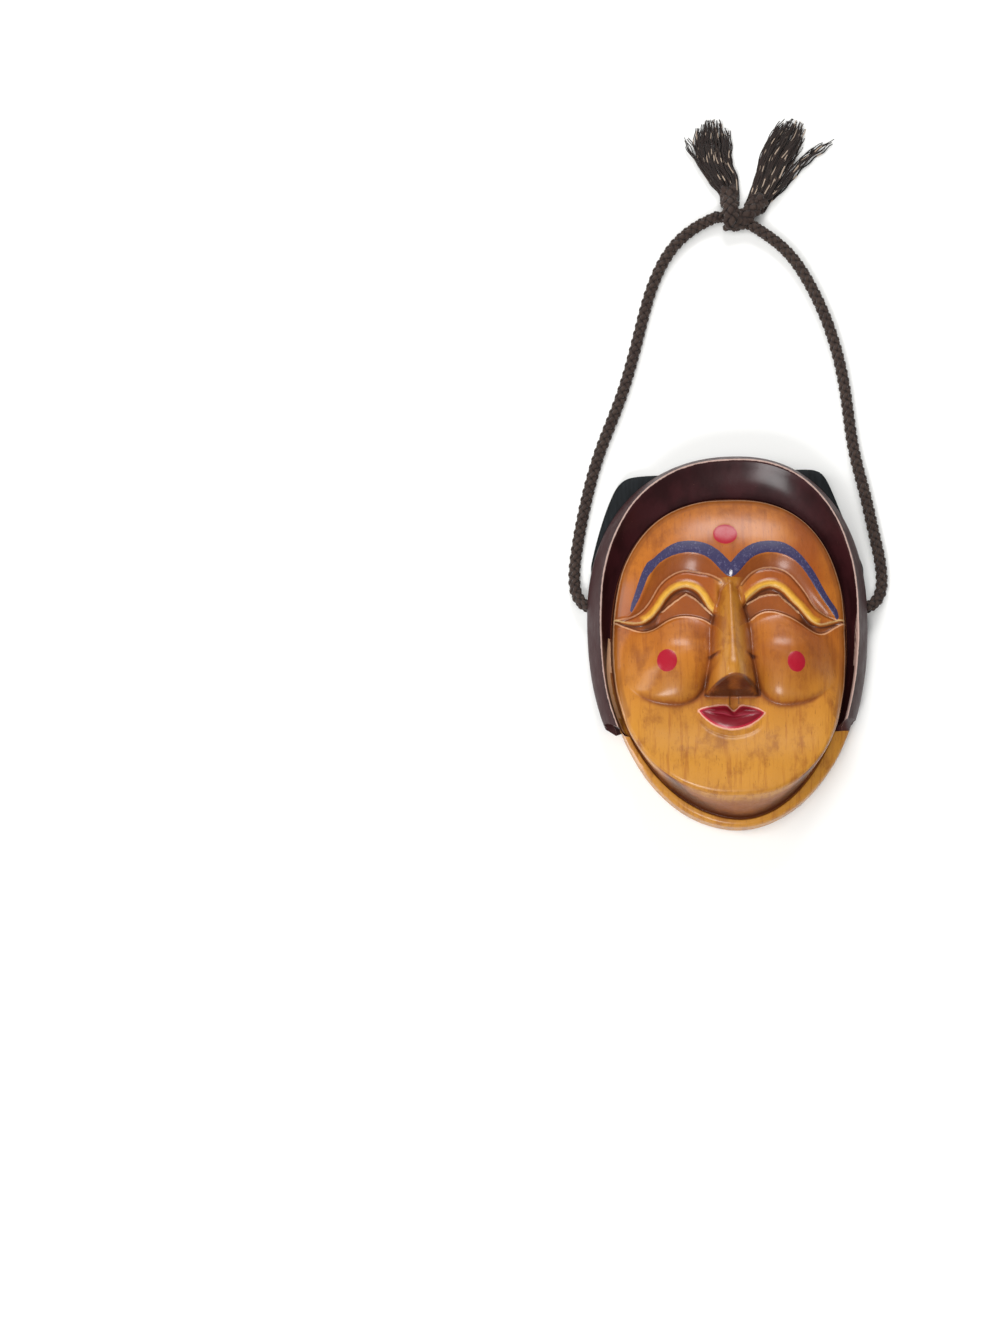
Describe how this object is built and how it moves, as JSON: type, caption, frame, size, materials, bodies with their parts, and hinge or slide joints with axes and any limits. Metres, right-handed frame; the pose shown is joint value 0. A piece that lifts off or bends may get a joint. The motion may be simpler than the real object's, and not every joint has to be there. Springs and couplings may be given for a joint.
{
  "type": "hanging wooden mask",
  "caption": "Carved wooden folk mask with a smiling face, dark hood and hollow back, hung by a knotted braided cord.",
  "frame": {"origin": "on the surface that the mask lies on, under the centre of the mask's own box; the cord isn't counted", "axes": "+Z out of the face, +Y towards the top of the head, +X to the right as the face is looked at"},
  "size_m": [0.1298, 0.3025, 0.0454],
  "materials": {
    "lacquered_wood": "amber stain under gloss lacquer, dark brown hood, black hair, painted brows, lids, dots and lips",
    "braided_cord": "dark brown braid, matt, ends frayed"
  },
  "bodies": {
    "root": {"mask": "lacquered_wood", "cord": "braided_cord", "knot": "braided_cord", "tassel_left": "braided_cord", "tassel_right": "braided_cord"}
  },
  "joints": []
}
